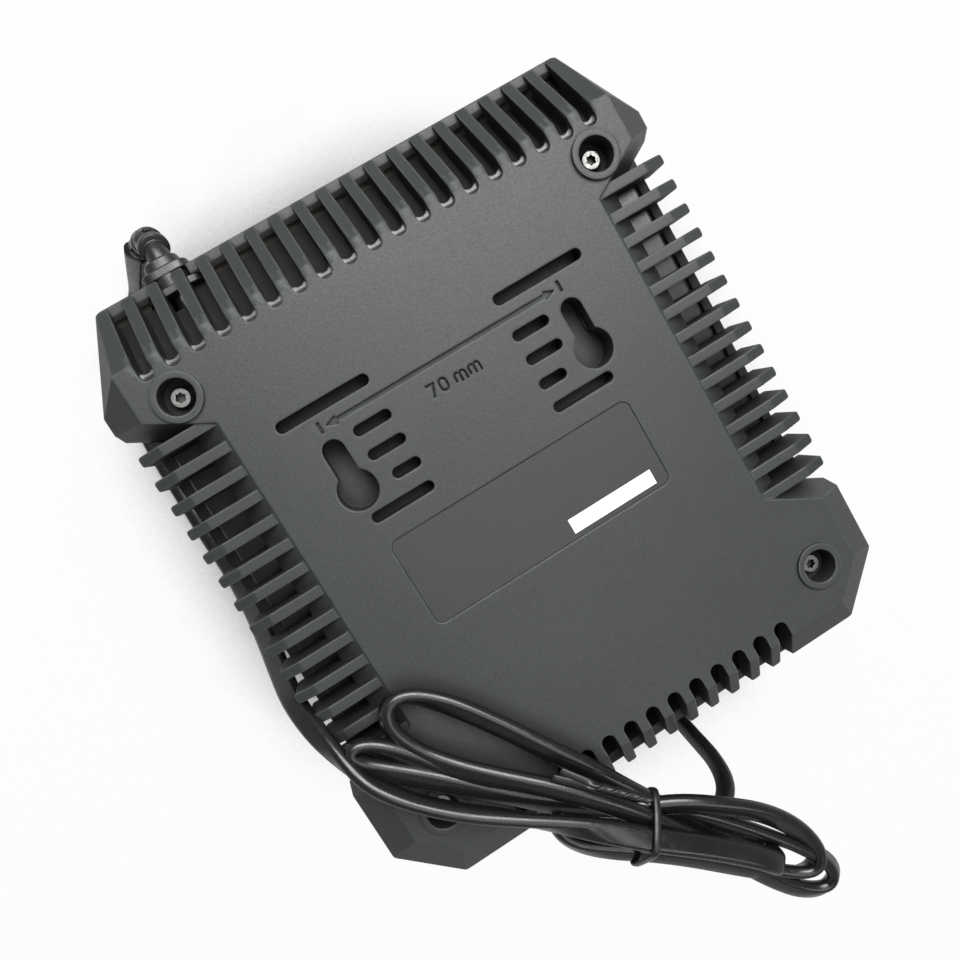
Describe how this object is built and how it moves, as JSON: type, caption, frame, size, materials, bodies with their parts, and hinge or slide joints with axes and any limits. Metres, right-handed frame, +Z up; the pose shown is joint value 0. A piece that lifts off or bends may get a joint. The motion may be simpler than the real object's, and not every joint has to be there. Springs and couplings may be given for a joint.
{
  "type": "power tool battery charger",
  "caption": "Slide-in battery charger housing with finned sides, slotted ends, a keyholed base plate, screw rings and a flat mains cord tied in a hank.",
  "frame": {"origin": "under the middle of the housing, on the surface that the battery dock stands on; the cord, hank, tie, plug and strain relief aren't counted", "axes": "+Z up out of the base plate, away from the battery dock; +Y towards the end that the mains cord leaves; +X to the right as seen from above with the cord end away"},
  "size_m": [0.1884, 0.2604, 0.0877],
  "materials": {
    "housing": "fine spark texture",
    "screw_steel": "zinc plated",
    "label": "printed film, bare",
    "board": "solder mask",
    "ferrite": "sintered",
    "winding_tape": "polyester tape",
    "capacitor_sleeve": "shrink sleeve",
    "copper": "enamelled wire",
    "film_box": "moulded box",
    "semiconductor": "moulded",
    "inner_plastic": "moulded",
    "fuse_glass": "clear",
    "sink_aluminium": "extruded",
    "contact_metal": "nickel plated",
    "red_wire": "insulation",
    "black_wire": "insulation",
    "brown_wire": "insulation",
    "blue_wire": "insulation",
    "clear_plastic": "clear",
    "led_lens": "diffuse",
    "cord_pvc": "semi-gloss sheath",
    "tie_film": "plastic-coated wire"
  },
  "bodies": {
    "housing": {"base_shell": "housing", "dock_shell": "housing", "housing_screws": "screw_steel", "rating_label": "label", "circuit_board": "board", "board_screws": "screw_steel", "transformer_core": "ferrite", "transformer_winding": "winding_tape", "bulk_capacitor": "capacitor_sleeve", "output_capacitors": "capacitor_sleeve", "line_choke": "ferrite", "choke_winding": "copper", "x_capacitor": "film_box", "bridge_rectifier": "semiconductor", "control_chip": "semiconductor", "mains_connector": "inner_plastic", "mains_fuse": "fuse_glass", "primary_heat_sink": "sink_aluminium", "power_transistor": "semiconductor", "output_heat_sink": "sink_aluminium", "output_rectifier": "semiconductor", "terminal_block": "inner_plastic", "terminal_blades": "contact_metal", "dc_lead_positive": "red_wire", "dc_lead_negative": "black_wire", "light_pipe": "clear_plastic", "status_leds": "led_lens", "led_board": "board", "fan_frame": "inner_plastic", "fan_stator": "copper", "fan_screws": "screw_steel", "fan_lead": "red_wire", "cord_strain_relief": "cord_pvc", "cord_jacket_end": "cord_pvc", "cord_clamp": "inner_plastic", "clamp_screws": "screw_steel", "mains_lead_brown": "brown_wire", "mains_lead_blue": "blue_wire", "cord_supply": "cord_pvc", "cord_hank": "cord_pvc", "cord_tail": "cord_pvc", "twist_tie": "tie_film", "plug_body": "cord_pvc", "plug_pins": "contact_metal"},
    "rotor": {"fan_rotor": "inner_plastic"}
  },
  "joints": [
    {"name": "fan_spin", "type": "hinge", "parent": "housing", "child": "rotor", "pos_m": [0.024, 0.0709, 0.036], "axis": [0, 1, 0], "continuous": true}
  ]
}
